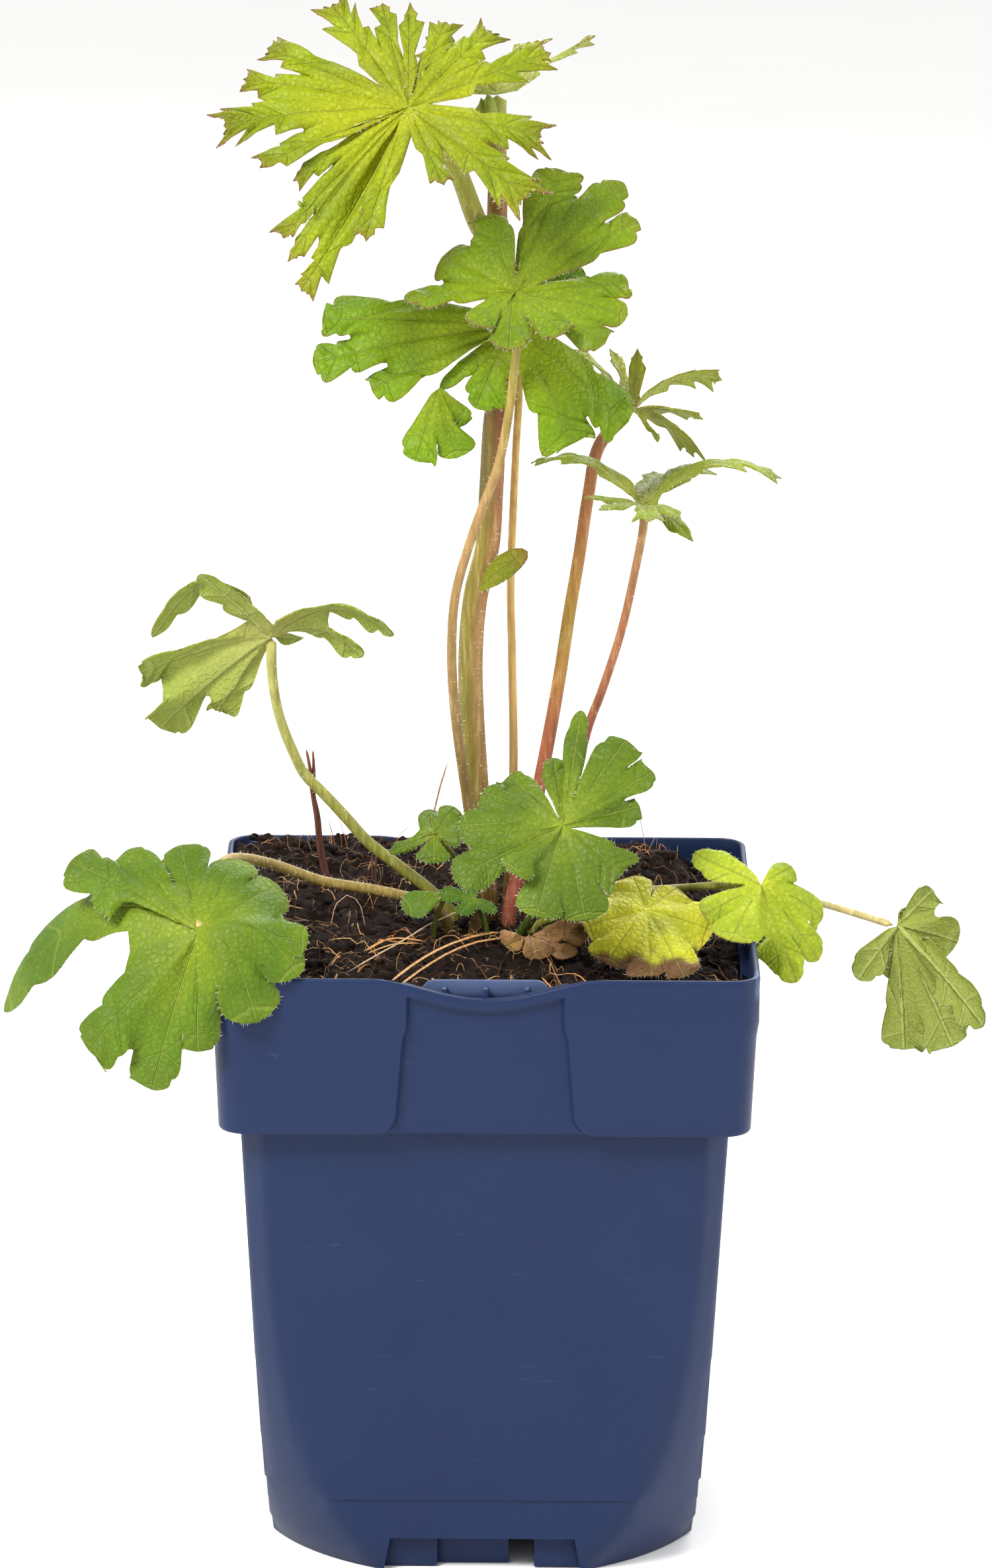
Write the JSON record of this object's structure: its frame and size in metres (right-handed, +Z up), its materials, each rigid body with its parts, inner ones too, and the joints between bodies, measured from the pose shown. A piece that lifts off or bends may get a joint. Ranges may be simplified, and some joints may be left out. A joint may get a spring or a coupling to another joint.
{
  "type": "potted delphinium plant",
  "caption": "Young delphinium plant with a hairy stem and long stalked, deeply cut leaves, growing from peat in a square nursery pot.",
  "frame": {"origin": "on the pot's upright axis at floor level, which is the centre of the object's box in plan to about 2 mm", "axes": "+Z up the stem, the front of the pot faces -Y, +X to the right seen from the front"},
  "size_m": [0.2193, 0.1236, 0.345],
  "materials": {
    "pot_plastic": "satin",
    "peat": "matte",
    "stem": "satin",
    "dry_stalk": "matte",
    "leaf_green": "satin",
    "leaf_bright": "satin",
    "leaf_yellowing": "satin",
    "dry_leaf": "matte"
  },
  "bodies": {
    "root": {"pot": "pot_plastic", "soil": "peat", "leafy_stem": "stem", "dry_twig": "dry_stalk", "leaf_middle": "leaf_green", "leaf_middle_back": "leaf_green", "leaf_right_upper": "leaf_green", "leaf_right_middle": "leaf_green", "leaf_left_middle": "leaf_green", "leaf_left_low": "leaf_green", "leaf_front": "leaf_green", "leaf_yellowing": "leaf_yellowing", "leaf_right_low": "leaf_bright", "leaf_far_right": "leaf_green", "leaf_small": "leaf_green", "leaf_round": "leaf_green", "leaf_tiny": "leaf_green", "dead_leaf": "dry_leaf"}
  },
  "joints": []
}
